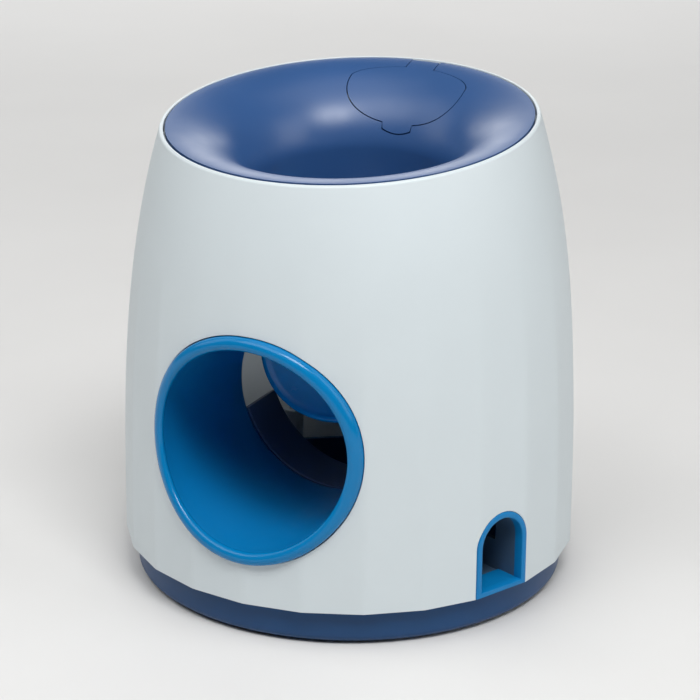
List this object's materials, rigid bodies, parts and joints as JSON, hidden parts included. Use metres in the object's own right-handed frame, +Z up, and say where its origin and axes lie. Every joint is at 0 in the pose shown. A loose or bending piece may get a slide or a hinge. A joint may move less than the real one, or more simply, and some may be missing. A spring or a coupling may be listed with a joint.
{
  "type": "dog puzzle toy",
  "caption": "Barrel-shaped dog puzzle toy: a ball dropped in the top funnel tips a sprung dish, rolls out of a front tube and turns a drum that lets treats slide to a side arch.",
  "frame": {"origin": "on the floor, in the middle of the whole object's outline", "axes": "+Z up, -Y out of the ball tube at the front, +X to the right seen from the front"},
  "size_m": [0.17, 0.1724, 0.1807],
  "materials": {
    "shell_white": "smooth satin",
    "funnel_blue": "polished",
    "base_navy": "satin",
    "bright_blue": "satin",
    "dark_inner": "matte",
    "inner_grey": "matte",
    "gear_white": "matte",
    "steel": "bright",
    "rubber_black": "matte"
  },
  "bodies": {
    "housing": {"outer_shell": "shell_white", "base_plate": "base_navy", "rubber_feet": "rubber_black", "base_screws": "steel", "funnel": "funnel_blue", "lid_pin": "steel", "exit_tube": "bright_blue", "tube_ring": "dark_inner", "ball_trough": "dark_inner", "trough_screws": "steel", "shaft_bushes": "gear_white", "return_spring": "steel", "stop_pad": "rubber_black", "treat_hopper": "inner_grey", "hopper_screws": "steel", "end_plate": "inner_grey", "end_plate_screws": "steel", "treat_slide": "dark_inner", "slide_screws": "steel", "treat_outlet": "bright_blue"},
    "paddle": {"paddle_dish": "bright_blue", "paddle_shaft": "steel", "sector_gear": "gear_white", "shaft_clip": "steel"},
    "drum": {"metering_drum": "bright_blue", "drum_shaft": "steel", "drum_pinion": "gear_white"},
    "lid": {"treat_lid": "funnel_blue"}
  },
  "joints": [
    {"name": "paddle_tip", "type": "hinge", "parent": "housing", "child": "paddle", "pos_m": [0, 0.032, 0.124], "axis": [1, 0, 0], "range_deg": [0, 25], "stiffness_Nm_per_rad": 0.02, "springref_deg": -45.84, "deforming": ["return_spring"]},
    {"name": "drum_turn", "type": "hinge", "parent": "housing", "child": "drum", "pos_m": [0.016, 0.05209, 0.09763], "axis": [1, 0, 0], "range_deg": [-112.5, 0]},
    {"name": "lid_hinge", "type": "hinge", "parent": "housing", "child": "lid", "pos_m": [-0.00015, 0.0617, 0.17797], "axis": [-1, 0, 0], "range_deg": [0, 100]}
  ],
  "couplings": [
    {"joint": "drum_turn", "follows": "paddle_tip", "ratio": -4.5}
  ]
}
